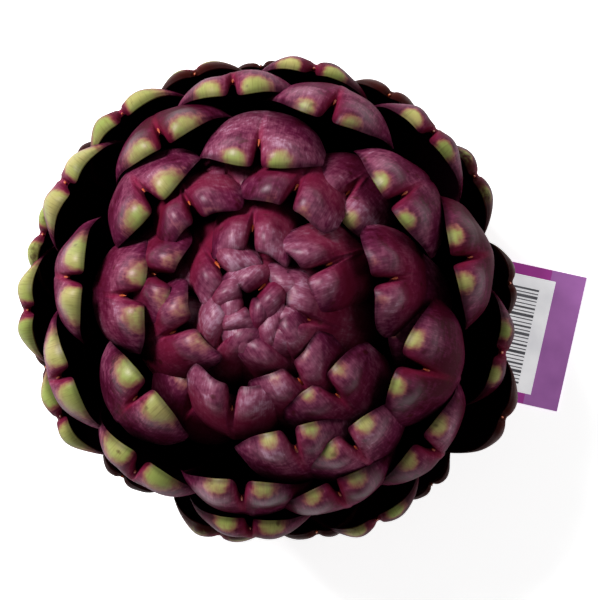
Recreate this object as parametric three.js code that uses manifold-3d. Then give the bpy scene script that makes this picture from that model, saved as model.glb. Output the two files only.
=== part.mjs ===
// A globe artichoke standing on its flat-cut stem, with a retail tag card around the stem.
// Millimetres, +Z up. The origin is the centre of the stem's cut face.

import * as THREE from "three";
import Module from "manifold-3d";

// The spiral that the bracts grow on, numbered from the middle of the bud outwards.
const bractCount = 76;
const budBracts = 20; // these close the bud over its middle
const budFrom = 17; // up to here they hug it, and
const budTo = 27; // from here on they stand off from it
const lensFrom = 10; // between these two, blunt bracts give way to lens-shaped ones
const lensTo = 28;
const fullGrownFrom = 34; // from here on they have their full width
const waistBract = 50; // and from here on they shrink again, towards the stem
const spiralStart = 328.2; // direction of the innermost bract, degrees anticlockwise from +X
const spiralTurn = -137.35; // from each bract to the next one out, degrees

// The globe that the bract tips lie on, measured from the axis and up from the cut face.
const tipReach = 61; // from the axis to the tips at the waist
const waistHeight = 36;
const crownRise = 59; // from the waist up to the tips at the middle of the bud
const baseDrop = 31; // from the waist down to the lowest tips
const baseFullness = 0.6; // below 1, the globe is fuller under the waist than an ellipse
const lowTuck = 1.6; // how much closer to the stem the dry lowest bracts lie
const tuckFrom = 44; // the first bract that does
const tuckTo = 56; // and the first that does so fully
const innerTipAngle = 1; // the innermost tip, degrees from the top of the globe
const tipStep = 0.91; // degrees further down the globe with each bract
const tipStepGrowth = 0.009; // the steps grow longer outwards

// The receptacle, an oblate heart that the bracts are rooted in.
const heartRadius = 26;
const heartHalfHeight = 13;
const heartHeight = 27; // level of its middle
const innerRootAngle = 20; // the innermost root, degrees from the top of the heart
const outerRootAngle = 150;
const rootSink = 4; // how deep each bract is rooted in the heart

// The core is the heart with the closed middle of the bud grown on it: from its flat neck, where
// the stem begins, up to the top of the bud, as [radius, height] pairs.
const neckRadius = 15;
const neckHeight = 14.6;
const coreOutline = [
  [neckRadius, neckHeight], [22, 17.5], [27.5, heartHeight], [31, 38],
  [29, 50], [22, 64], [16, 76], [8, 86],
];
const coreSides = 12;

// A bract seen along its length.
const budRootRun = 24; // how far the innermost bract swells out before it turns up
const budEdgeRun = 33; // and the last one of the bud
const innerRootRun = 38; // the others by this much
const rootRunLoss = 0.0037; // less towards the lowest bracts, by the square of their number
const innerRootDip = 4; // degrees below level in which it leaves the heart
const rootDipStep = 0.22;
const budTipRun = 17; // length of the part that curls over the middle
const outerTipRun = 20;
const lowestTipRun = 5;
const budTipCurl = -2; // degrees that a tip lies flatter than the globe under it
const tipCurl = 9;

// A bract seen flat.
const innerHalfWidth = 10.5;
const fullHalfWidth = 18.5;
const lowestHalfWidth = 12;
const widestLevel = 0.7; // share of the way from root to tip
const rootWidthShare = 0.4; // of the full width
const cornerDrop = 17; // how far the two outer corners lie behind the lobes
const cornerPower = 2.2; // the higher, the straighter the rim between the lobes
const notchDepth = 7.6;
const notchShrink = 0.3; // how far the notches shrink with the small bracts
const dryFrom = 45; // from the first of these bracts to the other, they dry up
const dryTo = 58;
const dryNotch = 0.2; // share of the notch depth that is left then
const budNotchDepth = 4.4; // of the innermost bract
const budNotchTo = 9; // from here on the notches are as deep as the others
const midribThickness = 2.3;
const edgeThickness = 1.1;
const rootCup = 1; // how far its edges lie inside its middle, at the root
const cup = 5.5; // and in its upper part, which makes a spoon of it
const cupFrom = 0.15; // the cup deepens between these levels
const cupTo = 0.6;
const lobePuff = 1.2; // how far each lobe swells out
const puffFrom = 8; // between these two, lobes change from those of the bud to the others
const puffTo = 30;
const budCup = 2; // for the blunt bracts of the bud
const budCornerDrop = 7.5;
const budCornerPower = 3; // the higher, the squarer their tips, and 2 makes them oval
const budPuff = 1.7;
const tightestBend = 0.75; // no bract is rolled to a smaller radius than its half width over this

// Some bracts were pushed off the even spiral as the bud filled out.
// Aside and higher are degrees around the axis and up the globe. The others are millimetres: out
// from the axis, further in over the middle, and down below the neighbours.
const pushedAside = {
  0: -62, 1: 11, 2: -11, 3: 7, 4: -9, 6: 12, 8: -4, 10: -10, 11: 3, 12: 2, 14: -3, 16: 12, 17: 11,
  18: -7, 21: -11, 22: -9, 24: 15, 28: 5, 30: 5, 31: 5, 32: 13, 33: 4, 36: 5, 37: 7, 46: -3, 47: -5,
  48: -6, 50: -4, 52: 5, 53: 10, 54: -4, 60: -3, 63: -4, 71: 6, 74: 4,
};
const tipHigher = {
  0: 1.5, 1: 1.2, 2: 1.5, 3: -1, 4: -1.5, 6: 2, 7: -3, 8: 1, 10: -2.5, 11: -6.5, 12: -7.5, 13: 6,
  14: 3, 15: -5.5, 16: 1.5, 17: 2, 18: -7.5, 21: 1, 22: 2.5, 24: -1.5, 27: 3, 28: 3.5, 29: -1.5,
  30: -3, 31: -1, 32: -3.5, 33: -2, 34: 6, 35: -3, 36: -2.5, 37: -1.5, 38: -10, 40: 4, 43: -8,
  44: -6.5, 45: 1.5, 46: -4, 47: -10, 48: -3, 49: -4, 50: -9, 52: -7,
};
const flaredOut = {
  30: 1, 35: 2, 38: 0.5, 43: 0.7, 44: 0.5, 50: 1.5, 52: 1, 54: 1.2, 55: 6.8, 57: 1.2, 58: 0.6, 59: 1.6,
  60: 2, 61: 0.2, 62: 2, 63: 4, 64: 1, 66: 0.5, 67: 1.4, 71: 6.5, 74: 4,
};
const curledIn = { 30: -2, 34: 7, 36: 4, 39: 6, 42: 4 };
const sunkBelow = { 5: 1, 9: 6, 19: 11, 20: 9, 23: 9, 26: 11 };

// Stem.
const stemRadius = 14;
const stemFlare = 0.8; // wider by this at the top
const stemRib = 0.5; // height of the ribs
const stemRibs = 10;
const stemGap = 0.3; // between the stem and what it meets
const stemTop = neckHeight - stemGap;

// Tag card, flat on the table, with a round collar that the stem stands in.
const cardThickness = 0.6;
const cardWidth = 36.5;
const cardReach = 78.5; // from the stem's axis to the far edge
const cardTurn = -12.5; // degrees
const cardShift = 5.5; // its middle line passes this far beside the axis
const collarRadius = 24;

const degree = Math.PI / 180;
const wasm = await Module();
wasm.setup();

// --- Solids -------------------------------------------------------------------------------

function solidFrom(points, triangles) {
  const vertProperties = new Float32Array(points.flat());
  const triVerts = new Uint32Array(triangles.flat());
  return new wasm.Manifold(new wasm.Mesh({ numProp: 3, vertProperties, triVerts }));
}

function geometryFrom(solid) {
  const mesh = solid.getMesh();
  const geometry = new THREE.BufferGeometry();
  geometry.setAttribute("position", new THREE.BufferAttribute(mesh.vertProperties, 3));
  geometry.setIndex(new THREE.BufferAttribute(mesh.triVerts, 1));
  geometry.computeVertexNormals();
  return geometry;
}

// A closed body of revolution about Z from [radius, height] pairs that run from bottom to top.
function turned(profile, sides) {
  const points = [];
  const triangles = [];
  for (const [radius, height] of profile) {
    for (let side = 0; side < sides; side += 1) {
      const angle = (2 * Math.PI * side) / sides;
      points.push([radius * Math.cos(angle), radius * Math.sin(angle), height]);
    }
  }
  const last = profile.length - 1;
  const bottom = points.push([0, 0, profile[0][1]]) - 1;
  const top = points.push([0, 0, profile[last][1]]) - 1;
  for (let side = 0; side < sides; side += 1) {
    const next = (side + 1) % sides;
    triangles.push([bottom, next, side]);
    triangles.push([top, last * sides + side, last * sides + next]);
    for (let ring = 0; ring < last; ring += 1) {
      const low = ring * sides;
      const high = low + sides;
      triangles.push([low + side, low + next, high + next]);
      triangles.push([low + side, high + next, high + side]);
    }
  }
  return solidFrom(points, triangles);
}

// --- Bracts -------------------------------------------------------------------------------

// Places across each level, from edge to edge: more of them where the bract shows.
const bractRows = [
  { level: 0, spans: [-1, 1] },
  { level: 0.5, spans: [-1, 0, 1] },
  { level: 0.8, spans: [-1, -0.5, 0, 0.5, 1] },
  { level: 1, spans: [-1, -0.55, -0.13, 0, 0.13, 0.55, 1] },
];
const onLobe = new Set([-0.55, -0.13, 0.13, 0.55]); // the places across that lie on a lobe

function mix(from, to, share) {
  return from + (to - from) * share;
}

function smoothStep(low, high, value) {
  const share = Math.min(1, Math.max(0, (value - low) / (high - low)));
  return share * share * (3 - 2 * share);
}

function polar(length, angle) {
  return new THREE.Vector2(length * Math.cos(angle * degree), length * Math.sin(angle * degree));
}

// 0 for all bracts down to the waist, then rising to 1 for the lowest one.
function shareOfBase(index) {
  return Math.max(0, (index - waistBract) / (bractCount - 1 - waistBract));
}

// The curve of a bract's midrib, as (distance from the axis, height), from root to tip.
function midrib(index) {
  const rootAngle = mix(innerRootAngle, outerRootAngle, index / (bractCount - 1)) * degree;
  const rootRadius = (heartRadius - rootSink) * Math.sin(rootAngle);
  const rootHeight = heartHeight + (heartHalfHeight - rootSink) * Math.cos(rootAngle);
  const root = new THREE.Vector2(rootRadius, rootHeight);
  const outside = smoothStep(budFrom, budTo, index);
  const budRun = mix(budRootRun, budEdgeRun, Math.min(1, index / budBracts));
  const rootRun = mix(budRun, innerRootRun - rootRunLoss * index * index, outside);
  const swell = polar(rootRun, -(innerRootDip + rootDipStep * index));
  const spacing = tipStep * index + tipStepGrowth * index * index;
  const tipAngle = innerTipAngle + spacing - (tipHigher[index] ?? 0);
  const upright = Math.cos(tipAngle * degree);
  const rise = upright > 0 ? crownRise * upright : -baseDrop * (-upright) ** baseFullness;
  const tucked = lowTuck * smoothStep(tuckFrom, tuckTo, index);
  const tipRadius = tipReach * Math.sin(tipAngle * degree) + (flaredOut[index] ?? 0) - tucked;
  const tip = new THREE.Vector2(tipRadius, waistHeight + rise - (sunkBelow[index] ?? 0));
  const tipRun = mix(budTipRun, outerTipRun, outside);
  const run = mix(tipRun, lowestTipRun, shareOfBase(index)) + (curledIn[index] ?? 0);
  const curl = polar(run, mix(budTipCurl, tipCurl, outside) - tipAngle);
  return new THREE.CubicBezierCurve(root, root.clone().add(swell), tip.clone().add(curl), tip);
}

// Half the width at the widest level.
function halfWidth(index) {
  const grown = Math.min(1, index / fullGrownFrom);
  return mix(mix(innerHalfWidth, fullHalfWidth, grown), lowestHalfWidth, shareOfBase(index));
}

// Share of that width at a level between root and tip.
function widthShare(level) {
  return mix(rootWidthShare, 1, Math.min(1, level / widestLevel));
}

// How far the tip's edge lies behind the lobes, at a share of the half width.
function edgeDrop(across, index) {
  const size = halfWidth(index) / fullHalfWidth;
  if (across === 0) {
    const left = mix(1, dryNotch, smoothStep(dryFrom, dryTo, index));
    const full = notchDepth * mix(1, size, notchShrink) * left;
    return mix(budNotchDepth, full, smoothStep(0, budNotchTo, index));
  }
  const side = Math.abs(across);
  const blunt = budCornerDrop * (1 - (1 - side ** budCornerPower) ** (1 / budCornerPower));
  const pointed = cornerDrop * size * side ** cornerPower;
  return mix(blunt, pointed, smoothStep(lensFrom, lensTo, index));
}

// Triangles between two rows of points that run the same way, seen from outside the bract.
function strip(low, high) {
  const triangles = [];
  let left = 0;
  let right = 0;
  while (left < low.spans.length - 1 || right < high.spans.length - 1) {
    const a = low.first + left;
    const b = high.first + right;
    const lowDone = left === low.spans.length - 1;
    if (!lowDone && (right === high.spans.length - 1 || low.spans[left + 1] <= high.spans[right + 1])) {
      triangles.push([a, a + 1, b]);
      left += 1;
    } else {
      triangles.push([a, b + 1, b]);
      right += 1;
    }
  }
  return triangles;
}

function bract(index) {
  const curve = midrib(index);
  const length = curve.getLength();
  const width = halfWidth(index);
  const size = width / fullHalfWidth;
  const lens = smoothStep(lensFrom, lensTo, index);
  const fullPuff = mix(budPuff, lobePuff * size, smoothStep(puffFrom, puffTo, index));
  const direction = (spiralStart + spiralTurn * index + (pushedAside[index] ?? 0)) * degree;
  const outer = [];
  const inner = [];
  const rows = [];
  for (const { level, spans } of bractRows) {
    const share = widthShare(level);
    const nearTip = level ** 6;
    rows.push({ first: outer.length, spans });
    for (const across of spans) {
      const along = level - (edgeDrop(across, index) / length) * nearTip;
      const at = curve.getPointAt(along);
      const tangent = curve.getTangentAt(along);
      const thickness = mix(midribThickness, edgeThickness, across * across);
      const deepest = mix(rootCup, mix(budCup, cup * size, lens), smoothStep(cupFrom, cupTo, level));
      const puff = onLobe.has(across) ? fullPuff * nearTip : 0;
      const bend = Math.max(at.x, width / tightestBend);
      const turn = (across * width * share) / bend;
      for (const [skin, depth] of [[outer, -puff], [inner, thickness]]) {
        const reach = bend - deepest * across * across - tangent.y * depth;
        const ahead = at.x - bend + reach * Math.cos(turn);
        const aside = reach * Math.sin(turn);
        skin.push([
          ahead * Math.cos(direction) - aside * Math.sin(direction),
          ahead * Math.sin(direction) + aside * Math.cos(direction),
          at.y + tangent.x * depth,
        ]);
      }
    }
  }
  const face = rows.slice(1).flatMap((row, place) => strip(rows[place], row));
  const count = outer.length;
  const triangles = face.flatMap(([a, b, c]) => [[a, b, c], [count + a, count + c, count + b]]);
  const lefts = rows.map((row) => row.first);
  const rights = rows.map((row) => row.first + row.spans.length - 1);
  const tipEdge = Array.from({ length: count - 1 - lefts.at(-1) }, (_, place) => count - 1 - place);
  const rootEdge = Array.from({ length: rights[0] }, (_, place) => place);
  const border = [...rootEdge, ...rights.slice(0, -1), ...tipEdge, ...lefts.slice(1).reverse()];
  border.forEach((point, place) => {
    const next = border[(place + 1) % border.length];
    triangles.push([point, count + point, count + next], [point, count + next, next]);
  });
  return solidFrom([...outer, ...inner], triangles);
}

// --- Head: the core and all bracts, grown as one body --------------------------------------

// Fusing can seal small hollows and leave loose scraps: only the outer skin of the one body is kept.
function outerSkin(solid) {
  const bodies = solid.decompose();
  return bodies.reduce((largest, body) => (body.volume() > largest.volume() ? body : largest));
}

function head() {
  const bracts = Array.from({ length: bractCount }, (_, index) => bract(index));
  const fused = wasm.Manifold.union([turned(coreOutline, coreSides), ...bracts]);
  const roomRadius = neckRadius + stemGap;
  const roomForStem = turned([[roomRadius, 0], [roomRadius, neckHeight]], 40);
  return outerSkin(fused.subtract(roomForStem));
}

// --- Stem ---------------------------------------------------------------------------------

// A ribbed stub, cut flat at the bottom, a little wider where it meets the heart.
function stem() {
  const sides = stemRibs * 4;
  const geometry = new THREE.CylinderGeometry(stemRadius + stemFlare, stemRadius, stemTop, sides, 3);
  geometry.rotateX(Math.PI / 2);
  geometry.translate(0, 0, stemTop / 2);
  const position = geometry.getAttribute("position");
  for (let point = 0; point < position.count; point += 1) {
    const angle = Math.atan2(position.getY(point), position.getX(point));
    const ribbed = 1 + (stemRib / stemRadius) * Math.cos(stemRibs * angle);
    position.setX(point, position.getX(point) * ribbed);
    position.setY(point, position.getY(point) * ribbed);
  }
  return geometry;
}

// --- Tag card -----------------------------------------------------------------------------

// A strip with a round collar at one end, and a hole in the collar for the stem.
function tagCard() {
  const half = cardWidth / 2;
  const upperMeet = Math.asin((cardShift + half) / collarRadius);
  const lowerMeet = Math.asin((cardShift - half) / collarRadius);
  const outline = new THREE.Shape();
  outline.absarc(0, 0, collarRadius, upperMeet, 2 * Math.PI + lowerMeet, false);
  outline.lineTo(cardReach, cardShift - half);
  outline.lineTo(cardReach, cardShift + half);
  outline.closePath();
  const hole = new THREE.Path();
  hole.absarc(0, 0, stemRadius + stemRib + stemGap, 0, 2 * Math.PI, true);
  outline.holes.push(hole);
  const options = { depth: cardThickness, bevelEnabled: false, curveSegments: 16 };
  const geometry = new THREE.ExtrudeGeometry(outline, options);
  geometry.rotateZ(cardTurn * degree);
  return geometry;
}

// --- Assembly -----------------------------------------------------------------------------

function part(name, geometry, colour, roughness) {
  const material = new THREE.MeshStandardMaterial({ color: colour, roughness, metalness: 0 });
  const mesh = new THREE.Mesh(geometry, material);
  mesh.name = name;
  return mesh;
}

const artichoke = new THREE.Group();
artichoke.add(part("head", geometryFrom(head()), "#6a3550", 0.5));
artichoke.add(part("stem", stem(), "#7d8450", 0.7));
artichoke.add(part("tag_card", tagCard(), "#8c5596", 0.45));

export default artichoke;
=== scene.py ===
# A purple globe artichoke on its cut stem, with a retail tag card around the stem.
import math
import random

import bmesh
import bpy
from mathutils import Matrix, Vector, noise


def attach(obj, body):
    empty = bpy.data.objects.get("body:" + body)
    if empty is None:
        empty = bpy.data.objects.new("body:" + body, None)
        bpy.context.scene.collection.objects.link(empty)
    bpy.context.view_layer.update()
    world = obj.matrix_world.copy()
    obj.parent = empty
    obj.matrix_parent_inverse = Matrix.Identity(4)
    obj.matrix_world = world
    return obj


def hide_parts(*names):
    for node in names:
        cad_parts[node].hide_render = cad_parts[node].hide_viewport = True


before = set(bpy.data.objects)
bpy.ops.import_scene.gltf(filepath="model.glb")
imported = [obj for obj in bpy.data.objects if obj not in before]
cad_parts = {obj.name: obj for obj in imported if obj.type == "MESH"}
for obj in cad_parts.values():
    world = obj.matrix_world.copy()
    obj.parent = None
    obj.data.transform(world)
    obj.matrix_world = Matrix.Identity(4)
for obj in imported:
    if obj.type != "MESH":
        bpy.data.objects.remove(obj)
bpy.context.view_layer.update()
mm = 0.001


def mix(low, high, share):
    return low + (high - low) * share


def smoothStep(low, high, value):
    share = min(1.0, max(0.0, (value - low) / (high - low)))
    return share * share * (3 - 2 * share)


def polar(length, angle):
    return Vector((length * math.cos(math.radians(angle)), length * math.sin(math.radians(angle))))


def newPiece(name, bm, material, smooth=True):
    mesh = bpy.data.meshes.new(name)
    for face in bm.faces:
        face.smooth = smooth
    bm.to_mesh(mesh)
    bm.free()
    mesh.materials.append(material)
    piece = bpy.data.objects.new(name, mesh)
    bpy.context.scene.collection.objects.link(piece)
    return piece


# Hex colours are sRGB.
def linear(hexColour):
    channels = [int(hexColour[place:place + 2], 16) / 255 for place in (1, 3, 5)]
    return tuple(c / 12.92 if c <= 0.04045 else ((c + 0.055) / 1.055) ** 2.4 for c in channels) + (1.0,)


# The same look with its hex colours turned to linear.
def withLinearColours(look):
    return {key: linear(value) if isinstance(value, str) else value for key, value in look.items()}


# The scale of a pattern on Object coordinates whose spots are so many millimetres wide.
def scaleFor(size):
    return 1 / (size * mm)


def newMaterial(name):
    material = bpy.data.materials.new(name)
    material.use_nodes = True
    return material, material.node_tree, material.node_tree.nodes["Principled BSDF"]


# Adds one node: settings are its properties, inputs are values or the sockets that feed it.
def addNode(tree, kind, settings=None, inputs=None):
    node = tree.nodes.new(kind)
    for key, value in (settings or {}).items():
        setattr(node, key, value)
    for key, value in (inputs or {}).items():
        if isinstance(value, bpy.types.NodeSocket):
            tree.links.new(value, node.inputs[key])
        else:
            node.inputs[key].default_value = value
    return node


# Settings that many nodes share.
rgba = {"data_type": "RGBA"}
multiply = {"operation": "MULTIPLY"}
multiplyAdd = {"operation": "MULTIPLY_ADD"}
softStep = {"interpolation_type": "SMOOTHSTEP"}

# How the bracts grow, in millimetres and degrees, as in the part's source.
growth = {
    "bractCount": 76,  # numbered from the middle of the bud outwards
    "budBracts": 20,
    "budFrom": 17,
    "budTo": 27,
    "fullGrownFrom": 34,
    "waistBract": 50,
    "spiralStart": 328.2,
    "spiralTurn": -137.35,
    "tipReach": 61,
    "waistHeight": 36,
    "crownRise": 59,
    "baseDrop": 31,
    "baseFullness": 0.6,
    "lowTuck": 1.6,
    "tuckFrom": 44,
    "tuckTo": 56,
    "innerTipAngle": 1,
    "tipStep": 0.91,
    "tipStepGrowth": 0.009,
    "heartRadius": 26,
    "heartHalfHeight": 13,
    "heartHeight": 27,
    "innerRootAngle": 20,
    "outerRootAngle": 150,
    "rootSink": 4,
    "budRootRun": 24,
    "budEdgeRun": 33,
    "innerRootRun": 38,
    "rootRunLoss": 0.0037,
    "innerRootDip": 4,
    "rootDipStep": 0.22,
    "budTipRun": 17,
    "budTipCurl": -2,
    "outerTipRun": 20,
    "lowestTipRun": 5,
    "tipCurl": 9,
}

# Bracts that were pushed off the even spiral: aside in degrees around the axis, higher in degrees up
# the globe, and the others in millimetres.
pushedAside = {
    0: -62, 1: 11, 2: -11, 3: 7, 4: -9, 6: 12, 8: -4, 10: -10, 11: 3, 12: 2, 14: -3, 16: 12, 17: 11,
    18: -7, 21: -11, 22: -9, 24: 15, 28: 5, 30: 5, 31: 5, 32: 13, 33: 4, 36: 5, 37: 7, 46: -3, 47: -5,
    48: -6, 50: -4, 52: 5, 53: 10, 54: -4, 60: -3, 63: -4, 71: 6, 74: 4,
}
tipHigher = {
    0: 1.5, 1: 1.2, 2: 1.5, 3: -1, 4: -1.5, 6: 2, 7: -3, 8: 1, 10: -2.5, 11: -6.5, 12: -7.5, 13: 6,
    14: 3, 15: -5.5, 16: 1.5, 17: 2, 18: -7.5, 21: 1, 22: 2.5, 24: -1.5, 27: 3, 28: 3.5, 29: -1.5,
    30: -3, 31: -1, 32: -3.5, 33: -2, 34: 6, 35: -3, 36: -2.5, 37: -1.5, 38: -10, 40: 4, 43: -8,
    44: -6.5, 45: 1.5, 46: -4, 47: -10, 48: -3, 49: -4, 50: -9, 52: -7,
}
flaredOut = {
    30: 1, 35: 2, 38: 0.5, 43: 0.7, 44: 0.5, 50: 1.5, 52: 1, 54: 1.2, 55: 6.8, 57: 1.2, 58: 0.6, 59: 1.6,
    60: 2, 61: 0.2, 62: 2, 63: 4, 64: 1, 66: 0.5, 67: 1.4, 71: 6.5, 74: 4,
}
curledIn = {30: -2, 34: 7, 36: 4, 39: 6, 42: 4}
sunkBelow = {5: 1, 9: 6, 19: 11, 20: 9, 23: 9, 26: 11}


def shareOfBase(index):
    waist = growth["waistBract"]
    return max(0.0, (index - waist) / (growth["bractCount"] - 1 - waist))


# The four control points of a bract's midrib, as (distance from the axis, height).
def midrib(index):
    g = growth
    rootAngle = math.radians(mix(g["innerRootAngle"], g["outerRootAngle"], index / (g["bractCount"] - 1)))
    root = Vector((
        (g["heartRadius"] - g["rootSink"]) * math.sin(rootAngle),
        g["heartHeight"] + (g["heartHalfHeight"] - g["rootSink"]) * math.cos(rootAngle),
    ))
    outside = smoothStep(g["budFrom"], g["budTo"], index)
    budRun = mix(g["budRootRun"], g["budEdgeRun"], min(1, index / g["budBracts"]))
    rootRun = mix(budRun, g["innerRootRun"] - g["rootRunLoss"] * index ** 2, outside)
    swell = polar(rootRun, -(g["innerRootDip"] + g["rootDipStep"] * index))
    tipAngle = g["innerTipAngle"] + g["tipStep"] * index + g["tipStepGrowth"] * index ** 2
    tipAngle -= tipHigher.get(index, 0)
    upright = math.cos(math.radians(tipAngle))
    rise = g["crownRise"] * upright if upright > 0 else -g["baseDrop"] * (-upright) ** g["baseFullness"]
    tucked = g["lowTuck"] * smoothStep(g["tuckFrom"], g["tuckTo"], index)
    tipRadius = g["tipReach"] * math.sin(math.radians(tipAngle)) + flaredOut.get(index, 0) - tucked
    tip = Vector((tipRadius, g["waistHeight"] + rise - sunkBelow.get(index, 0)))
    tipRun = mix(g["budTipRun"], g["outerTipRun"], outside)
    run = mix(tipRun, g["lowestTipRun"], shareOfBase(index)) + curledIn.get(index, 0)
    curl = polar(run, mix(g["budTipCurl"], g["tipCurl"], outside) - tipAngle)
    return root, root + swell, tip + curl, tip


# The midrib as evenly spaced points from root to tip, and its length.
def midribPoints(index, count=90):
    a, b, c, d = midrib(index)
    fine = []
    fineSteps = 400
    for step in range(fineSteps + 1):
        t = step / fineSteps
        s = 1 - t
        fine.append(a * s ** 3 + b * (3 * s * s * t) + c * (3 * s * t * t) + d * t ** 3)
    reach = [0.0]
    for one, other in zip(fine, fine[1:]):
        reach.append(reach[-1] + (other - one).length)
    points = []
    at = 0
    for step in range(count + 1):
        wanted = reach[-1] * step / count
        while at < fineSteps - 1 and reach[at + 1] < wanted:
            at += 1
        share = (wanted - reach[at]) / max(1e-9, reach[at + 1] - reach[at])
        points.append(fine[at].lerp(fine[at + 1], min(1, share)))
    return points, reach[-1]


def alongMidrib(points, share):
    last = len(points) - 1
    place = share * last
    low = min(last - 1, max(0, int(place)))
    spot = points[low] + (points[low + 1] - points[low]) * (place - low)
    before = points[max(0, low - 1)]
    after = points[min(last, low + 2)]
    return spot, (after - before).normalized()


# The way a bract faces, round the axis.
def directionOf(index):
    return math.radians(growth["spiralStart"] + growth["spiralTurn"] * index + pushedAside.get(index, 0))


# One bract, in millimetres: the bud values are for the innermost ones, which change into the others
# outwards. What ends in Over is the first and the last bract of a change.
bractForm = {
    "middleFrom": 26,  # the first bract of the middle piece, and of the base
    "baseFrom": 50,
    "columns": 26,  # of the blank that every bract is shaped from
    "rows": 15,
    "columnGather": 1.8,  # above 1, the columns gather at the notch
    "rowGather": 1.8,  # and the rows at the rim
    "slotPinch": 0.8,  # how closely the columns gather again at the sides of the notch
    "pinchReach": 0.05,
    "innerHalfWidth": 10.5,
    "fullHalfWidth": 18.5,
    "lowestHalfWidth": 12,
    "widestLevel": 0.7,
    "rootWidthShare": 0.4,
    "cornerDrop": 17,
    "cornerPower": 2.2,
    "budCornerDrop": 7.5,
    "budCornerPower": 3,
    "leafLikeOver": (10, 28),  # from the blunt bracts of the bud to the spoon-shaped ones
    "dropFade": 6,  # how fast the shape of the rim fades towards the root
    "notchDepth": 7.6,
    "budNotchDepth": 4.4,
    "notchGrowsOver": (0, 9),
    "notchShrink": 0.3,  # how far the notches shrink with the small bracts
    "driesOver": (45, 58),
    "dryNotch": 0.2,  # share of the notch depth that is left on dry bracts
    "raggedRim": 1.2,  # how ragged the rims of the dry ones are
    "raggedWaves": 7,  # to the half width
    "raggedStep": 99,  # gives each bract its own part of the noise
    "slotHalfWidth": 0.95,  # of the notch
    "budSlotHalfWidth": 0.7,
    "slotGrowsOver": (0, 20),
    "slotSquareness": 6,
    "slotRounding": 0.1,  # how far its mouth opens in round shoulders, as a share of its depth
    "midribThickness": 2.3,
    "edgeThickness": 1.1,
    "rimThinner": 0.65,  # share of the thickness that is left at the rim
    "rimThinReach": 8,
    "rimRounding": 0.2,  # how far the rim's edges lie inside the skins, as a share of the thickness
    "rimBulge": 0.35,  # how far its middle stands out, as well
    "rootCup": 1,  # how far its edges lie inside its middle, at the root
    "cup": 5.5,  # and in its upper part, which makes a spoon of it
    "budCup": 2,
    "cupLevels": (0.15, 0.6),
    "tightestBend": 0.75,  # no bract is rolled to a smaller radius than its half width over this
    "lobePuff": 1.9,  # how far each lobe swells out
    "budPuff": 2.3,
    "puffGrowsOver": (8, 30),
    "puffSide": 0.3,  # where the lobe is fullest, as a share of the half width
    "puffHalfWidth": 0.24,
    "puffBehind": 4,
    "puffHalfLength": 4.5,
    "flattensOver": (42, 56),
    "lowestPuff": 0.55,  # share of the swelling that is left then
    "valleyDepth": 1.3,  # of the fold that runs down from the notch
    "valleyHalfWidth": 0.11,
    "valleyLength": 6,
    "rimRoll": 1.1,  # how far the rim rolls inwards
    "rimRollReach": 1.5,
    "budRimRoll": 1.9,
    "budRimRollReach": 2.3,
    "wrinkle": 0.7,
    "wrinklesAcross": 0.14,  # to a millimetre: one every 7
    "wrinklesAlong": 0.08,
    "wrinkleStep": 3.7,
    "innerRelief": 0.4,  # share of the relief that shows on the inner skin
    "notchSpread": (0.85, 1.25),  # by which factors single bracts differ
    "slotSpread": (0.85, 1.15),
    "puffSpread": (0.8, 1.15),
    "greenSpread": (0.8, 1.2),
    "skew": 1.2,  # by how much one lobe is longer than the other, at most
    "seed": 12,
}

# Where the skin of a bract has which colour. Side and half width are shares of the bract's half width,
# behind and length are millimetres from the rim towards the root, and Over is as above.
bractMarks = {
    "lobeSide": 0.32,
    "lobeHalfWidth": 0.3,
    "lobeBehind": 2,
    "lobeLength": 5,  # beside the notch
    "lobeSideLength": 2.4,  # and at the side edge
    "shineFocus": 2.5,  # the higher, the smaller is the shiny spot on the lobe
    "dullsOver": (31, 46),
    "lowestShine": 0.12,
    "patchSide": 0.3,
    "patchHalfWidth": 0.33,
    "patchBehind": 0.7,
    "patchLength": 4.6,
    "patchSideLength": 2.1,
    "greensOver": (4, 34),
    "budGreen": 0.2,
    "fullGreen": 1.1,
    "greenerSide": 175,  # degrees: the side of the head that grew in shade
    "leastGreen": 0.85,
    "loosestPatch": 0.8,  # the higher, the smaller are the patches: on the greener side
    "tightestPatch": 4.2,  # and on the other
    "patchesChange": (0.1, 0.85),  # between them, from the other side to the greener one
    "notchSide": (0.04, 0.16),
    "blushHalfWidth": 0.12,
    "blushLength": 7,
    # the bud's skin away from its rims is redder, and both it and the skin low down where outer bracts cover
    # it are darkened as painted shade
    "budWine": 0.8,  # how red the skin of the bud is away from the rims
    "budShade": 0.75,  # and how dark
    "budRimBehind": (3, 9),
    "lowShadeBehind": (9, 24),
    "dryBehind": (5, 0.4),
    # painted shade, with the next three: the inner skin and the very edge of the rim are coloured near
    # black, as if in the shade between the bracts
    "insideDepth": (0.55, 0.95),  # shares of the thickness
    "insideBehind": (0.6, 2.5),
    "rimShadow": 0.6,  # how dark the very edge is
    "rimShadowBehind": (0.7, 0.1),
    "budBloom": 0.55,  # how much paler the middle of the bud is
    "bloomFadesOver": (8, 26),
    # painted shade, with the next three: the outer bracts are darkened, most on the side away from the key
    # light
    "darkensOver": (26, 54),
    "shadedSide": 325,  # degrees: the side of the head that is darkest, in painted shade away from the key light
    "leastDark": 0.3,
    "mostDark": 2.3,
    "stripShrink": 0.12,  # draws the pattern out along the bract, into ribs
    "stripStep": 9.0,  # gives each bract its own part of the pattern
}

# Each mark is an attribute of the mesh, which the skin's material reads.
markNames = ("lobe", "patch", "shine", "blush", "low", "dry", "inside", "tone")


def halfWidth(index):
    f = bractForm
    grown = min(1, index / growth["fullGrownFrom"])
    return mix(mix(f["innerHalfWidth"], f["fullHalfWidth"], grown), f["lowestHalfWidth"], shareOfBase(index))


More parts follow.
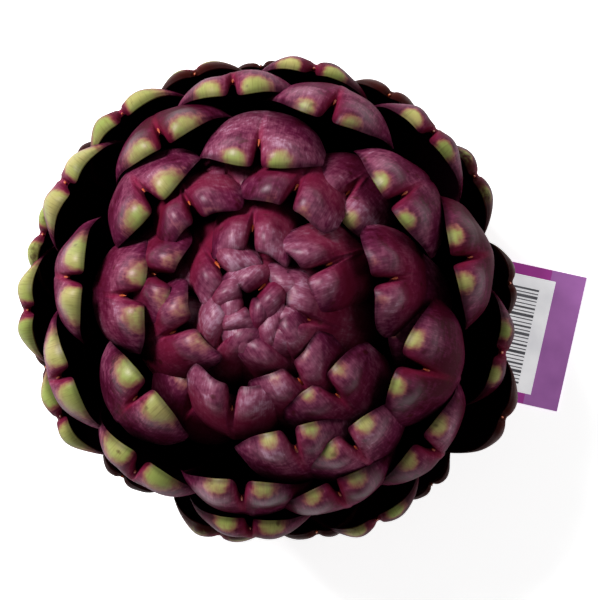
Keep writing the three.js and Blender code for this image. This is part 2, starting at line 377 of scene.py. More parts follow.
# What makes one bract differ from its neighbours.
def traitsOf(index):
    f = bractForm
    m = bractMarks
    rng = random.Random(f["seed"] + index)
    size = halfWidth(index) / f["fullHalfWidth"]
    leafLike = smoothStep(*f["leafLikeOver"], index)
    fullNotch = f["notchDepth"] * mix(1, size, f["notchShrink"])
    notch = mix(f["budNotchDepth"], fullNotch, smoothStep(*f["notchGrowsOver"], index))
    slot = mix(f["budSlotHalfWidth"], f["slotHalfWidth"], smoothStep(*f["slotGrowsOver"], index))
    puff = mix(f["budPuff"], f["lobePuff"] * size, smoothStep(*f["puffGrowsOver"], index))
    green = mix(m["budGreen"], m["fullGreen"], smoothStep(*m["greensOver"], index))
    dry = smoothStep(*f["driesOver"], index)
    return {
        "size": size,
        "notch": notch * mix(1, f["dryNotch"], dry) * rng.uniform(*f["notchSpread"]),
        "skew": rng.uniform(-f["skew"], f["skew"]),
        "slot": slot * rng.uniform(*f["slotSpread"]) / halfWidth(index),
        "puff": rng.uniform(*f["puffSpread"]) * puff,
        "flat": mix(1, f["lowestPuff"], smoothStep(*f["flattensOver"], index)),
        "roll": mix(f["budRimRoll"], f["rimRoll"], leafLike),
        "rollReach": mix(f["budRimRollReach"], f["rimRollReach"], leafLike),
        "leafLike": leafLike,
        "cup": mix(f["budCup"], f["cup"] * size, leafLike),
        "tone": rng.random(),
        "green": rng.uniform(*f["greenSpread"]) * green,
        "dry": dry,
        "shine": mix(1, m["lowestShine"], smoothStep(*m["dullsOver"], index)),
    }


# Draws a place across the bract towards the side of its notch, which is steep.
def gathered(side, slot):
    off = side - slot
    return side - bractForm["slotPinch"] * off * math.exp(-(off / bractForm["pinchReach"]) ** 2)


# How far the rim lies behind the foremost points of the lobes, in millimetres.
def rimDrop(across, trait):
    f = bractForm
    side = min(1, abs(across))
    slot = side / trait["slot"]
    square = math.exp(-slot ** f["slotSquareness"])
    rounded = math.exp(-slot ** 2 / 4)
    notch = trait["notch"] * mix(square, rounded, f["slotRounding"])
    waves = noise.noise(Vector((across * f["raggedWaves"], trait["tone"] * f["raggedStep"], 0)))
    ragged = f["raggedRim"] * trait["dry"] * (waves + 0.5)
    blunt = f["budCornerDrop"] * (1 - (1 - side ** f["budCornerPower"]) ** (1 / f["budCornerPower"]))
    pointed = f["cornerDrop"] * trait["size"] * side ** f["cornerPower"]
    return mix(blunt, pointed, trait["leafLike"]) + notch + trait["skew"] * across + ragged


# How far the skin stands out from the plain curved sheet, in millimetres.
def relief(across, behind, width, trait):
    f = bractForm
    side = abs(across)
    puffs = math.exp(-((side - f["puffSide"]) / f["puffHalfWidth"]) ** 2)
    puffs *= math.exp(-((behind - f["puffBehind"]) / f["puffHalfLength"]) ** 2)
    valley = math.exp(-(side / f["valleyHalfWidth"]) ** 2) * math.exp(-behind / f["valleyLength"])
    roll = trait["roll"] * math.exp(-min(behind, (1 - side) * width) / trait["rollReach"])
    return trait["puff"] * trait["flat"] * puffs - trait["size"] * f["valleyDepth"] * valley - roll


# How green, how small in its patches and how dark a bract is, by the side of the head it is on. The
# darkening of the outer bracts is partly their own colour and, strongest on one side, painted shade.
def sideOfHead(index, direction, trait):
    m = bractMarks
    shaded = 0.5 + 0.5 * math.cos(direction - math.radians(m["greenerSide"]))
    green = trait["green"] * mix(m["leastGreen"], 1, shaded)
    tightness = mix(m["tightestPatch"], m["loosestPatch"], smoothStep(*m["patchesChange"], shaded))
    awayFromLight = 0.5 + 0.5 * math.cos(direction - math.radians(m["shadedSide"]))
    tone = trait["tone"] - 0.5 + m["budBloom"] * (1 - smoothStep(*m["bloomFadesOver"], index))
    tone -= smoothStep(*m["darkensOver"], index) * mix(m["leastDark"], m["mostDark"], awayFromLight)
    return green, tightness, tone


# The marks that colour one point of a bract's skin. Depth is 0 on the outer skin and 1 on the inner.
def marksOf(side, behind, depth, trait, onHead):
    m = bractMarks
    green, tightness, tone = onHead
    lobeSpread = (behind - m["lobeBehind"]) / mix(m["lobeLength"], m["lobeSideLength"], side)
    lobeAway = ((side - m["lobeSide"]) / m["lobeHalfWidth"]) ** 2 + lobeSpread ** 2
    patchSpread = (behind - m["patchBehind"]) / mix(m["patchLength"], m["patchSideLength"], side)
    patchAway = ((side - m["patchSide"]) / m["patchHalfWidth"]) ** 2 + patchSpread ** 2
    besideNotch = smoothStep(*m["notchSide"], side)
    lobe = math.exp(-lobeAway) * besideNotch
    notchBlush = math.exp(-(side / m["blushHalfWidth"]) ** 2 - (behind / m["blushLength"]) ** 2)
    # the bud's skin away from its rims: redder, and darkened as painted shade
    budFace = (1 - trait["leafLike"]) * smoothStep(*m["budRimBehind"], behind)
    # painted shade on the inner skin, and in a thin line along the rim's edge
    inside = smoothStep(*m["insideDepth"], depth) * smoothStep(*m["insideBehind"], behind)
    return {
        "lobe": lobe,
        "shine": lobe ** m["shineFocus"] * trait["shine"],
        "patch": math.exp(-patchAway * tightness) * besideNotch * green,
        "blush": max(notchBlush, m["budWine"] * budFace),
        # painted shade: the skin low down under the outer bracts, and the bud's skin away from its rims
        "low": max(m["budShade"] * budFace, smoothStep(*m["lowShadeBehind"], behind)),
        "dry": trait["dry"] * smoothStep(*m["dryBehind"], behind),
        "inside": max(inside, m["rimShadow"] * smoothStep(*m["rimShadowBehind"], behind)),
        "tone": tone,
    }


bractLook = {
    "deep": "#3a0719",
    "body": "#551835",
    "flesh": "#7b3e56",
    "bloom": "#ab859c",
    "skinStops": (0.34, 0.51, 0.67, 0.86),  # where those four lie in the uneven colour of the skin
    "blush": "#8a1f3c",
    "green": "#8b9a4e",
    "straw": "#aba263",
    "vein": "#6f6a34",
    "amber": "#94564c",
    "dry": "#3a120d",
    # painted shade, near black, on the inner skin and along the very edge of the rim
    "inside": "#0c0206",
    "ribsAcross": 2.6,  # a millimetre: real ones are finer and would not show
    "mottleSize": 1.43,  # millimetres, as the other sizes
    "cloudSize": 11.8,
    "speckSize": 3.03,
    "mottleShare": 0.66,  # of the mottle in the uneven colour, as the next three
    "cloudShare": 0.5,
    "toneShare": 0.12,
    # painted highlight on the swollen lobes
    "lobeHighlightShare": 0.1,
    # painted shade: how far the skin low down is darkened towards deep wine
    "lowShadeShare": 0.55,  # how strong a colour is at most, as the other shares
    "blushShare": 0.5,
    "amberShare": 0.6,
    "patchShare": 0.92,
    "veinShare": 0.6,
    "speckShare": 0.6,
    "contrastFrom": (0.33, 0.67),  # the uneven colour is stretched from these values
    "contrastTo": (0.25, 0.75),  # to these
    "frayedByRibs": 0.2,
    "frayedBySpots": 0.5,
    "fringe": (0.85, 1.15),  # a colour comes in between such a pair of values of its pattern
    "patch": (1.0, 1.5),
    "ripe": (0.42, 0.66),
    "veined": (0.5, 0.75),
    "specked": (0.68, 0.78),
    "raggedDry": 0.6,
    "withered": (0.6, 0.95),
    "gloss": "#ecd0de",
    "faceGloss": 0.004,
    "lobeGloss": 0.5,
    "coat": 0.18,
    "coatRoughness": 0.33,
    "leastRoughness": 0.36,
    "mostRoughness": 0.55,
    "ribHeight": 0.12,
    "ribStrength": 0.6,
    "mottleInHeight": 0.3,
}


# Artichoke bract: fleshy and waxy, wine purple with fine ribs along its length, straw green where a
# lobe meets the rim, red round the notch, and dry brown on the rims of the lowest ones.
def bractSkin():
    look = withLinearColours(bractLook)
    material, tree, shader = newMaterial("waxy purple bract skin")
    marks = {}
    for key in markNames:
        marks[key] = addNode(tree, "ShaderNodeAttribute", {"attribute_name": key}).outputs["Fac"]
    strip = addNode(tree, "ShaderNodeAttribute", {"attribute_name": "strip"}).outputs["Vector"]
    place = addNode(tree, "ShaderNodeTexCoord").outputs["Object"]
    ribs = addNode(tree, "ShaderNodeTexNoise", None,
                   {"Vector": strip, "Scale": look["ribsAcross"], "Detail": 3.0}).outputs[0]
    mottle = addNode(tree, "ShaderNodeTexNoise", None,
                     {"Vector": place, "Scale": scaleFor(look["mottleSize"]), "Detail": 5.0}).outputs[0]
    cloud = addNode(tree, "ShaderNodeTexNoise", None,
                    {"Vector": place, "Scale": scaleFor(look["cloudSize"]), "Detail": 2.0}).outputs[0]
    speck = addNode(tree, "ShaderNodeTexNoise", None,
                    {"Vector": place, "Scale": scaleFor(look["speckSize"]), "Detail": 1.0}).outputs[0]

    # the skin runs from deep wine to pale bloom, unevenly
    uneven = addNode(tree, "ShaderNodeMix", None, {0: look["mottleShare"], 2: ribs, 3: mottle}).outputs[0]
    uneven = addNode(tree, "ShaderNodeMix", None, {0: look["cloudShare"], 2: uneven, 3: cloud}).outputs[0]
    uneven = addNode(tree, "ShaderNodeMapRange", {"clamp": False}, {
        "Value": uneven,
        "From Min": look["contrastFrom"][0],
        "From Max": look["contrastFrom"][1],
        "To Min": look["contrastTo"][0],
        "To Max": look["contrastTo"][1],
    }).outputs[0]
    # tone is each bract's own random tone, plus the painted shade of the outer bracts on one side of the
    # head
    uneven = addNode(tree, "ShaderNodeMath", multiplyAdd,
                     {0: marks["tone"], 1: look["toneShare"], 2: uneven}).outputs[0]
    # painted highlight: the swollen lobes are paler, as if lit from above
    uneven = addNode(tree, "ShaderNodeMath", multiplyAdd,
                     {0: marks["lobe"], 1: look["lobeHighlightShare"], 2: uneven}).outputs[0]
    ramp = addNode(tree, "ShaderNodeValToRGB", None, {"Fac": uneven})
    stops = ramp.color_ramp.elements
    stops[0].position, stops[1].position = look["skinStops"][0], look["skinStops"][3]
    stops[0].color, stops[1].color = look["deep"], look["bloom"]
    stops.new(look["skinStops"][1]).color = look["body"]
    stops.new(look["skinStops"][2]).color = look["flesh"]
    # painted shade: the skin low down under the outer bracts, and the bud's skin away from its rims, is
    # darkened towards deep wine
    low = addNode(tree, "ShaderNodeMath", multiply, {0: marks["low"], 1: look["lowShadeShare"]}).outputs[0]
    skin = addNode(tree, "ShaderNodeMix", rgba, {0: low, 6: ramp.outputs[0], 7: look["deep"]}).outputs[2]
    red = addNode(tree, "ShaderNodeMath", multiply, {0: marks["blush"], 1: look["blushShare"]}).outputs[0]
    skin = addNode(tree, "ShaderNodeMix", rgba, {0: red, 6: skin, 7: look["blush"]}).outputs[2]

    # the patches are green and straw, with veins, and have a soft, slightly frayed edge of amber
    frayed = addNode(tree, "ShaderNodeMath", multiplyAdd,
                     {0: ribs, 1: look["frayedByRibs"], 2: marks["patch"]}).outputs[0]
    for spots in (cloud, mottle):
        frayed = addNode(tree, "ShaderNodeMath", multiplyAdd,
                         {0: spots, 1: look["frayedBySpots"], 2: frayed}).outputs[0]
    fringe = addNode(tree, "ShaderNodeMapRange", softStep, {
        "Value": frayed,
        "From Min": look["fringe"][0],
        "From Max": look["fringe"][1],
        "To Max": look["amberShare"],
    }).outputs[0]
    skin = addNode(tree, "ShaderNodeMix", rgba, {0: fringe, 6: skin, 7: look["amber"]}).outputs[2]
    ripe = addNode(tree, "ShaderNodeMapRange", None,
                   {"Value": cloud, "From Min": look["ripe"][0], "From Max": look["ripe"][1]}).outputs[0]
    straw = addNode(tree, "ShaderNodeMix", rgba, {0: ripe, 6: look["green"], 7: look["straw"]}).outputs[2]
    veins = addNode(tree, "ShaderNodeMapRange", None, {
        "Value": ribs,
        "From Min": look["veined"][0],
        "From Max": look["veined"][1],
        "To Max": look["veinShare"],
    }).outputs[0]
    straw = addNode(tree, "ShaderNodeMix", rgba, {0: veins, 6: straw, 7: look["vein"]}).outputs[2]
    patch = addNode(tree, "ShaderNodeMapRange", softStep, {
        "Value": frayed,
        "From Min": look["patch"][0],
        "From Max": look["patch"][1],
        "To Max": look["patchShare"],
    }).outputs[0]
    skin = addNode(tree, "ShaderNodeMix", rgba, {0: patch, 6: skin, 7: straw}).outputs[2]

    # brown specks, ragged dry rims, and painted shade, near black, on the inner skin and along the very edge
    # of the rim
    speck = addNode(tree, "ShaderNodeMapRange", softStep, {
        "Value": speck,
        "From Min": look["specked"][0],
        "From Max": look["specked"][1],
        "To Max": look["speckShare"],
    }).outputs[0]
    skin = addNode(tree, "ShaderNodeMix", rgba, {0: speck, 6: skin, 7: look["dry"]}).outputs[2]
    withered = addNode(tree, "ShaderNodeMath", multiplyAdd,
                       {0: mottle, 1: look["raggedDry"], 2: marks["dry"]}).outputs[0]
    withered = addNode(tree, "ShaderNodeMapRange", softStep, {
        "Value": withered, "From Min": look["withered"][0], "From Max": look["withered"][1],
    }).outputs[0]
    skin = addNode(tree, "ShaderNodeMix", rgba, {0: withered, 6: skin, 7: look["dry"]}).outputs[2]
    # painted shade: the inner skin and the rim's edge turn near black
    skin = addNode(tree, "ShaderNodeMix", rgba,
                   {0: marks["inside"], 6: skin, 7: look["inside"]}).outputs[2]
    tree.links.new(skin, shader.inputs["Base Color"])

    # wax: the swollen lobes shine and the skin behind them hardly does
    rough = addNode(tree, "ShaderNodeMapRange", None, {
        "Value": mottle, "To Min": look["leastRoughness"], "To Max": look["mostRoughness"],
    }).outputs[0]
    tree.links.new(rough, shader.inputs["Roughness"])
    gloss = addNode(tree, "ShaderNodeMath", multiplyAdd,
                    {0: marks["shine"], 1: look["lobeGloss"], 2: look["faceGloss"]}).outputs[0]
    tree.links.new(gloss, shader.inputs["Specular IOR Level"])
    shader.inputs["Specular Tint"].default_value = look["gloss"]
    coat = addNode(tree, "ShaderNodeMath", multiply, {0: marks["shine"], 1: look["coat"]}).outputs[0]
    tree.links.new(coat, shader.inputs["Coat Weight"])
    shader.inputs["Coat Roughness"].default_value = look["coatRoughness"]
    height = addNode(tree, "ShaderNodeMix", None, {0: look["mottleInHeight"], 2: ribs, 3: mottle}).outputs[0]
    bump = addNode(tree, "ShaderNodeBump", None, {
        "Strength": look["ribStrength"], "Distance": look["ribHeight"] * mm, "Height": height,
    })
    tree.links.new(bump.outputs[0], shader.inputs["Normal"])
    return material


# A flat double-skinned blank: x is across, y is from root to tip, z is 0 outside and 1 inside.
def bractBlank(columns, rows):
    blank = bmesh.new()
    bmesh.ops.create_grid(blank, x_segments=columns, y_segments=rows, size=1)
    grown = bmesh.ops.extrude_face_region(blank, geom=blank.faces[:])
    inner = [item for item in grown["geom"] if isinstance(item, bmesh.types.BMVert)]
    bmesh.ops.translate(blank, verts=inner, vec=(0, 0, 1))
    walls = [edge for edge in blank.edges if abs(edge.verts[0].co.z - edge.verts[1].co.z) > 0.5]
    bmesh.ops.subdivide_edges(blank, edges=walls, cuts=1)
    bmesh.ops.recalc_face_normals(blank, faces=blank.faces[:])
    # the bend mirrors the blank, so its faces point inwards here and outwards on a bract
    bmesh.ops.reverse_faces(blank, faces=blank.faces[:])
    mesh = bpy.data.meshes.new("blank")
    blank.to_mesh(mesh)
    blank.free()
    return mesh


# Bends one copy of the blank into a bract. Across and level are shares of its half width and length,
# and side is a share of its thickness.
def addBract(bm, layers, blank, index):
    f = bractForm
    trait = traitsOf(index)
    width = halfWidth(index)
    points, length = midribPoints(index)
    direction = directionOf(index)
    onHead = sideOfHead(index, direction, trait)
    first = len(bm.verts)
    bm.from_mesh(blank)
    bm.verts.ensure_lookup_table()
    for vert in bm.verts[first:]:
        u, w, side = vert.co.x, (vert.co.y + 1) / 2, vert.co.z
        across = math.copysign(gathered(abs(u) ** f["columnGather"], trait["slot"]), u)
        level = 1 - (1 - w) ** f["rowGather"]
        atSide = abs(u) > 0.999
        atTip = w > 0.999
        thickness = mix(f["midribThickness"], f["edgeThickness"], across * across)
        if atSide or atTip:
            side = mix(f["rimRounding"], 1 - f["rimRounding"], side)
        overhang = f["rimBulge"] * thickness if abs(side - 0.5) < 0.01 else 0.0
        drop = rimDrop(across, trait)
        along = level - drop / length * level ** f["dropFade"]
        if atTip:
            along = min(1.0, along + overhang / length)
        spot, tangent = alongMidrib(points, along)
        behind = max(0.0, (1 - drop / length - along) * length)
        thickness *= mix(f["rimThinner"], 1, smoothStep(0, f["rimThinReach"], behind))
        reach = across * width * mix(f["rootWidthShare"], 1, min(1, level / f["widestLevel"]))
        if atSide:
            reach += math.copysign(overhang, across)
        cupped = mix(f["rootCup"], trait["cup"], smoothStep(*f["cupLevels"], level)) * across * across
        folds = Vector((reach * f["wrinklesAcross"], behind * f["wrinklesAlong"], index * f["wrinkleStep"]))
        lift = relief(across, behind, width, trait) + f["wrinkle"] * noise.noise(folds)
        depth = -lift * mix(1, f["innerRelief"], side) + side * thickness
        # the sheet is rolled round the axis, or flatter than that where it nears the axis
        bend = max(spot.x, width / f["tightestBend"])
        turn = reach / bend
        inward = Vector((-tangent.y, tangent.x))
        r = bend - cupped + inward.x * depth
        ahead = spot.x - bend + r * math.cos(turn)
        aside = r * math.sin(turn)
        vert.co = (
            (ahead * math.cos(direction) - aside * math.sin(direction)) * mm,
            (ahead * math.sin(direction) + aside * math.cos(direction)) * mm,
            (spot.y + inward.y * depth) * mm,
        )
        for key, mark in marksOf(abs(across), behind, side, trait, onHead).items():
            vert[layers[key]] = mark
        vert[layers["strip"]] = (reach, behind * bractMarks["stripShrink"], index * bractMarks["stripStep"])


def bractPiece(name, indexes, blank, material):
    bm = bmesh.new()
    layers = {}
    for key in markNames:
        layers[key] = bm.verts.layers.float.new(key)
    layers["strip"] = bm.verts.layers.float_vector.new("strip")
    for index in indexes:
        addBract(bm, layers, blank, index)
    piece = newPiece(name, bm, material)
    rounded = piece.modifiers.new("rounded", "SUBSURF")
    rounded.levels = rounded.render_levels = 1
    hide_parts("head")
    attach(piece, "root")


bractMaterial = bractSkin()
bractSheet = bractBlank(bractForm["columns"], bractForm["rows"])
middle, base, count = bractForm["middleFrom"], bractForm["baseFrom"], growth["bractCount"]
bractPiece("bracts_bud", range(0, middle), bractSheet, bractMaterial)
bractPiece("bracts_middle", range(middle, base), bractSheet, bractMaterial)
bractPiece("bracts_base", range(base, count), bractSheet, bractMaterial)
print("bracts made")

thornForm = {
    "radius": 0.46,
    "pointRadius": 0.06,
    "length": 2.2,
    "sides": 8,
    "rooted": 0.8,  # how far behind the notch it starts
    "ahead": 0.35,  # from there to its middle, as a share of its length
    "depth": 0.2,  # of its middle line in the skin
    "tan": "#cf622c",
    "streak": "#9c3c1e",
    "streakSize": 1.11,
    "roughness": 0.5,
}


# Dry, horny thorn: orange tan with red-brown streaks.
def thornMaterial():
    look = withLinearColours(thornForm)
    material, tree, shader = newMaterial("dry tan thorn")
    place = addNode(tree, "ShaderNodeTexCoord").outputs["Object"]
    streak = addNode(tree, "ShaderNodeTexNoise", None,
                     {"Vector": place, "Scale": scaleFor(look["streakSize"]), "Detail": 2.0}).outputs[0]
    colour = addNode(tree, "ShaderNodeMix", rgba, {0: streak, 6: look["tan"], 7: look["streak"]}).outputs[2]
    tree.links.new(colour, shader.inputs["Base Color"])
    shader.inputs["Roughness"].default_value = look["roughness"]
    return material


# One thorn stands at the bottom of each notch and points on along the bract.
def addThorn(bm, index):
    form = thornForm
    points, length = midribPoints(index)
    trait = traitsOf(index)
    spot, tangent = alongMidrib(points, 1 - (rimDrop(0, trait) + form["rooted"]) / length)
    depth = form["depth"] - relief(0, form["rooted"], halfWidth(index), trait)
    direction = directionOf(index)
    outward = Vector((math.cos(direction), math.sin(direction), 0))
    up = Vector((0, 0, 1))
    heading = (outward * tangent.x + up * tangent.y).normalized()
    inward = outward * -tangent.y + up * tangent.x
    middle = outward * spot.x + up * spot.y + inward * depth + heading * form["length"] * form["ahead"]
    turn = up.rotation_difference(heading).to_matrix().to_4x4()
    bmesh.ops.create_cone(
        bm, segments=form["sides"], cap_ends=True, radius1=form["radius"] * mm,
        radius2=form["pointRadius"] * mm, depth=form["length"] * mm,
        matrix=Matrix.Translation(middle * mm) @ turn,
    )


thorns = bmesh.new()
for index in range(growth["bractCount"]):
    addThorn(thorns, index)
thornPiece = newPiece("thorns", thorns, thornMaterial())
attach(thornPiece, "root")
print("thorns made")

# The outline is (distance from the axis, height), from the neck up to the middle of the bud.
coreForm = {
    "outline": [(15, 14.6), (22, 17.5), (27.5, 27), (31, 38), (29, 50), (22, 64), (16, 76), (8, 86)],
    "steps": 48,
    "neck": "#7d7a45",
    # painted shade, near black, on the receptacle between the bracts
    "hidden": "#080103",
    "neckHeight": 22,
    "hiddenHeight": 30,
    "uneven": 4,
    "grainSize": 4,
    "roughness": 0.7,
    "gloss": 0.05,
}


# Receptacle: pale green at the neck, and above it painted in deep wine-coloured shade, near black, where it
# lies between the bracts.
def coreMaterial():
    look = withLinearColours(coreForm)
    material, tree, shader = newMaterial("receptacle flesh")
    place = addNode(tree, "ShaderNodeTexCoord").outputs["Object"]
    height = addNode(tree, "ShaderNodeSeparateXYZ", None, {0: place}).outputs[2]
    grain = addNode(tree, "ShaderNodeTexNoise", None,
                    {"Vector": place, "Scale": scaleFor(look["grainSize"])}).outputs[0]
    height = addNode(tree, "ShaderNodeMath", multiplyAdd,
                     {0: grain, 1: look["uneven"] * mm, 2: height}).outputs[0]
    share = addNode(tree, "ShaderNodeMapRange", None, {
        "Value": height, "From Min": look["neckHeight"] * mm, "From Max": look["hiddenHeight"] * mm,
    }).outputs[0]
    colour = addNode(tree, "ShaderNodeMix", rgba, {0: share, 6: look["neck"], 7: look["hidden"]}).outputs[2]
    tree.links.new(colour, shader.inputs["Base Color"])
    shader.inputs["Roughness"].default_value = look["roughness"]
    shader.inputs["Specular IOR Level"].default_value = look["gloss"]
    return material


core = bmesh.new()
outline = coreForm["outline"]
closed = [(0, outline[0][1]), *outline, (0, outline[-1][1])]
turned = [core.verts.new((r * mm, 0, z * mm)) for r, z in closed]
turned += [core.edges.new(pair) for pair in zip(turned, turned[1:])]
bmesh.ops.spin(core, geom=turned, cent=(0, 0, 0), axis=(0, 0, 1), angle=2 * math.pi,
               steps=coreForm["steps"], use_merge=True)
bmesh.ops.remove_doubles(core, verts=core.verts[:], dist=1e-6)
bmesh.ops.recalc_face_normals(core, faces=core.faces[:])
corePiece = newPiece("receptacle", core, coreMaterial())
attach(corePiece, "root")
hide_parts("head")
print("receptacle made")

stemLook = {
    "rind": "#6d7343",
    "tinge": "#7c4a55",
    "cut": "#c3bd8e",
    "pith": "#d8d2ae",
    "bundle": "#7b6b3c",
    "pithRadius": 7.0,
    "woodFrom": 9.5,  # all of the cut face is woody from this radius outwards
    "bundleSize": 1.54,
    "bundleEdge": (0.3, 0.15),
    "cutTop": 0.15,
    "fibreSize": 1.11,
    "fibreStretch": 0.06,  # fibres are this much finer across the stem than along it
    "fibreHeight": 0.3,
    "fibreStrength": 0.5,
    "roughness": 0.62,
}


# Stem: ribbed green rind with a wine tinge in streaks; on the cut face pale pith inside a ring of
# darker fibre bundles.
def stemMaterial():
    look = withLinearColours(stemLook)
    material, tree, shader = newMaterial("ribbed stem rind and cut pith")
    place = addNode(tree, "ShaderNodeTexCoord").outputs["Object"]
    drawn = addNode(tree, "ShaderNodeMapping", None,
                    {"Vector": place, "Scale": (1.0, 1.0, look["fibreStretch"])}).outputs[0]
    fibres = addNode(tree, "ShaderNodeTexNoise", None,
                     {"Vector": drawn, "Scale": scaleFor(look["fibreSize"]), "Detail": 3.0}).outputs[0]
    rind = addNode(tree, "ShaderNodeMix", rgba, {0: fibres, 6: look["rind"], 7: look["tinge"]}).outputs[2]
    flat = addNode(tree, "ShaderNodeMapping", None, {"Vector": place, "Scale": (1.0, 1.0, 0.0)}).outputs[0]
    radius = addNode(tree, "ShaderNodeVectorMath", {"operation": "LENGTH"}, {0: flat}).outputs["Value"]
    bundles = addNode(tree, "ShaderNodeTexVoronoi", None,
                      {"Vector": flat, "Scale": scaleFor(look["bundleSize"])}).outputs["Distance"]
    dots = addNode(tree, "ShaderNodeMapRange", None, {
        "Value": bundles, "From Min": look["bundleEdge"][0], "From Max": look["bundleEdge"][1],
    }).outputs[0]
    woody = addNode(tree, "ShaderNodeMapRange", None, {
        "Value": radius, "From Min": look["pithRadius"] * mm, "From Max": look["woodFrom"] * mm,
    }).outputs[0]
    dots = addNode(tree, "ShaderNodeMath", multiply, {0: dots, 1: woody}).outputs[0]
    face = addNode(tree, "ShaderNodeMix", rgba, {0: woody, 6: look["pith"], 7: look["cut"]}).outputs[2]
    face = addNode(tree, "ShaderNodeMix", rgba, {0: dots, 6: face, 7: look["bundle"]}).outputs[2]
    height = addNode(tree, "ShaderNodeSeparateXYZ", None, {0: place}).outputs[2]
    cut = addNode(tree, "ShaderNodeMath", {"operation": "LESS_THAN"},
                  {0: height, 1: look["cutTop"] * mm}).outputs[0]
    colour = addNode(tree, "ShaderNodeMix", rgba, {0: cut, 6: rind, 7: face}).outputs[2]
    tree.links.new(colour, shader.inputs["Base Color"])
    shader.inputs["Roughness"].default_value = look["roughness"]
    bump = addNode(tree, "ShaderNodeBump", None, {
        "Strength": look["fibreStrength"], "Distance": look["fibreHeight"] * mm, "Height": fibres,
    })
    tree.links.new(bump.outputs[0], shader.inputs["Normal"])
    return material


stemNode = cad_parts["stem"]
stemNode.data.materials.clear()
stemNode.data.materials.append(stemMaterial())
print("stem dressed")

# The card's print, in millimetres from the stem's axis: x towards the far edge, y across the card.
cardForm = {
    "turn": -12.5,  # degrees
    "shift": 5.5,
    "width": 36.5,
    "thickness": 0.6,
    "darkFrom": 28,
    "darkTo": 69.3,
    "panelFrom": 30,
    "panelTo": 70.8,
    "panelLow": -9.9,
    "panelHigh": 20.9,
    "barsFrom": 33,
    "barsTo": 67,
    "barsLow": -7.5,
    "barsHigh": 17.5,
    "barCount": 26,
    "barWidths": (0.55, 0.3, 0.3, 0.8, 0.3),  # in turn
    "ink": 0.02,  # the print stands this far above what it is printed on
    "light": "#985e9e",
    "lightWorn": "#8b5492",
    "dark": "#963288",
    "darkWorn": "#842b78",
    "white": "#eeeef0",
    "whiteWorn": "#dcdce0",
    "black": "#3a3a3e",
    "blackWorn": "#57575c",
    "cloudSize": 7.7,
    "worn": (0.35, 0.7),
    # painted light: how strongly the print glows, though it is no lamp
    "paintedLight": 0.55,
    "roughness": 0.42,
}


# Print on coated card: a slightly clouded colour with a soft sheen, and a painted glow of light that keeps
# it bright in the head's shadow.
def printMaterial(name, colour):
    look = withLinearColours(cardForm)
    material, tree, shader = newMaterial(name)
    place = addNode(tree, "ShaderNodeTexCoord").outputs["Object"]
    cloud = addNode(tree, "ShaderNodeTexNoise", None,
                    {"Vector": place, "Scale": scaleFor(look["cloudSize"]), "Detail": 3.0}).outputs[0]
    share = addNode(tree, "ShaderNodeMapRange", None,
                    {"Value": cloud, "From Min": look["worn"][0], "From Max": look["worn"][1]}).outputs[0]
    mixed = addNode(tree, "ShaderNodeMix", rgba,
                    {0: share, 6: look[colour], 7: look[colour + "Worn"]}).outputs[2]
    tree.links.new(mixed, shader.inputs["Base Color"])
    # painted light: the print glows a little in its own colour
    tree.links.new(mixed, shader.inputs["Emission Color"])
    shader.inputs["Emission Strength"].default_value = look["paintedLight"]
    shader.inputs["Roughness"].default_value = look["roughness"]
    return material


# Adds a flat printed field between two corners, as the layer of ink with this number on the card.
def addField(bm, low, high, layer):
    height = cardForm["thickness"] + layer * cardForm["ink"]
    middle = Vector(((low[0] + high[0]) / 2, (low[1] + high[1]) / 2, height))
    turn = Matrix.Rotation(math.radians(cardForm["turn"]), 4, "Z")
    grown = Matrix.Diagonal(((high[0] - low[0]) * mm / 2, (high[1] - low[1]) * mm / 2, 1, 1))
    bmesh.ops.create_grid(bm, x_segments=1, y_segments=1, size=1,
                          matrix=turn @ Matrix.Translation(middle * mm) @ grown)


def printPiece(name, bm, colour):
    piece = newPiece(name, bm, printMaterial(name.replace("_", " "), colour), smooth=False)
    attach(piece, "root")


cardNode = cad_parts["tag_card"]
cardNode.data.materials.clear()
cardNode.data.materials.append(printMaterial("light purple card", "light"))
card = cardForm
band = bmesh.new()
addField(band, (card["darkFrom"], card["shift"] - card["width"] / 2),
         (card["darkTo"], card["shift"] + card["width"] / 2), 1)
printPiece("dark_purple_band", band, "dark")
panel = bmesh.new()
addField(panel, (card["panelFrom"], card["panelLow"]), (card["panelTo"], card["panelHigh"]), 2)
printPiece("white_panel", panel, "white")
bars = bmesh.new()
for bar in range(card["barCount"]):
    middle = mix(card["barsLow"], card["barsHigh"], bar / (card["barCount"] - 1))
    half = card["barWidths"][bar % len(card["barWidths"])] / 2
    addField(bars, (card["barsFrom"], middle - half), (card["barsTo"], middle + half), 3)
printPiece("plain_bars", bars, "black")
print("card dressed")

studio = {
    "tableSize": 3,  # metres, as places and distances; powers are in watts
    "tableDrop": 0.02,  # millimetres, as the next
    "tableCloudSize": 500,
    "tableWhite": "#fafafa",
    "tableWorn": "#fcfcfc",
    "tableGlow": 0.72,
    "tableRoughness": 0.8,
    "key": {"place": (-0.55, 0.55, 0.85), "size": 0.4, "power": 17.0},
    "fill": {"place": (0.7, 0.1, 0.75), "size": 0.5, "power": 1.6},
    "sky": 0.15,
    "target": Vector((0, 0, 0.045)),
    "distance": 0.435,
    "tilt": 5,  # degrees that the camera leans towards +X
    "lens": 106.5,
    "shift": (0.0567, 0.0017),
}


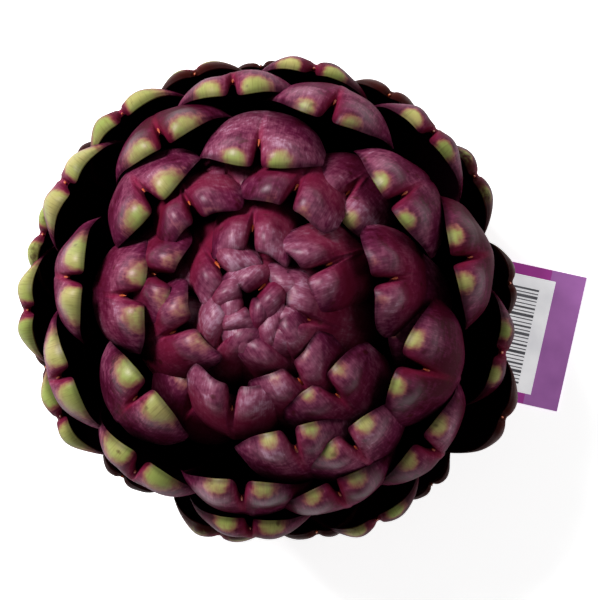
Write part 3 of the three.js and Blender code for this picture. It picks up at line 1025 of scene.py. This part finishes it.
# Light table: matt white, faintly lit from below so that shadows on it stay pale.
def tableMaterial():
    look = withLinearColours(studio)
    material, tree, shader = newMaterial("white light table")
    place = addNode(tree, "ShaderNodeTexCoord").outputs["Object"]
    cloud = addNode(tree, "ShaderNodeTexNoise", None,
                    {"Vector": place, "Scale": scaleFor(look["tableCloudSize"])}).outputs[0]
    colour = addNode(tree, "ShaderNodeMix", rgba,
                     {0: cloud, 6: look["tableWhite"], 7: look["tableWorn"]}).outputs[2]
    tree.links.new(colour, shader.inputs["Base Color"])
    shader.inputs["Emission Color"].default_value = (1, 1, 1, 1)
    shader.inputs["Emission Strength"].default_value = look["tableGlow"]
    shader.inputs["Roughness"].default_value = look["tableRoughness"]
    return material


table = bmesh.new()
bmesh.ops.create_grid(table, x_segments=1, y_segments=1, size=studio["tableSize"],
                      matrix=Matrix.Translation((0, 0, -studio["tableDrop"] * mm)))
newPiece("table", table, tableMaterial())


def softLight(name, form):
    data = bpy.data.lights.new(name, "AREA")
    data.shape = "SQUARE"
    data.size = form["size"]
    data.energy = form["power"]
    light = bpy.data.objects.new(name, data)
    light.location = form["place"]
    light.rotation_euler = (studio["target"] - light.location).to_track_quat("-Z", "Y").to_euler()
    bpy.context.scene.collection.objects.link(light)


softLight("key", studio["key"])
softLight("fill", studio["fill"])
world = bpy.data.worlds.new("studio")
world.use_nodes = True
sky = world.node_tree.nodes["Background"]
sky.inputs["Color"].default_value = (1, 1, 1, 1)
sky.inputs["Strength"].default_value = studio["sky"]
scene = bpy.context.scene
scene.world = world
scene.view_settings.view_transform = "Standard"

tilt = math.radians(studio["tilt"])
back = Vector((math.sin(tilt), 0, math.cos(tilt)))
right = Vector((math.cos(tilt), 0, -math.sin(tilt)))
cameraData = bpy.data.cameras.new("camera")
cameraData.lens = studio["lens"]
cameraData.shift_x, cameraData.shift_y = studio["shift"]
camera = bpy.data.objects.new("camera", cameraData)
facing = Matrix((right, (0, 1, 0), back)).transposed().to_4x4()
camera.matrix_world = Matrix.Translation(studio["target"] + back * studio["distance"]) @ facing
scene.collection.objects.link(camera)
scene.camera = camera
print("studio made")

bpy.context.view_layer.update()
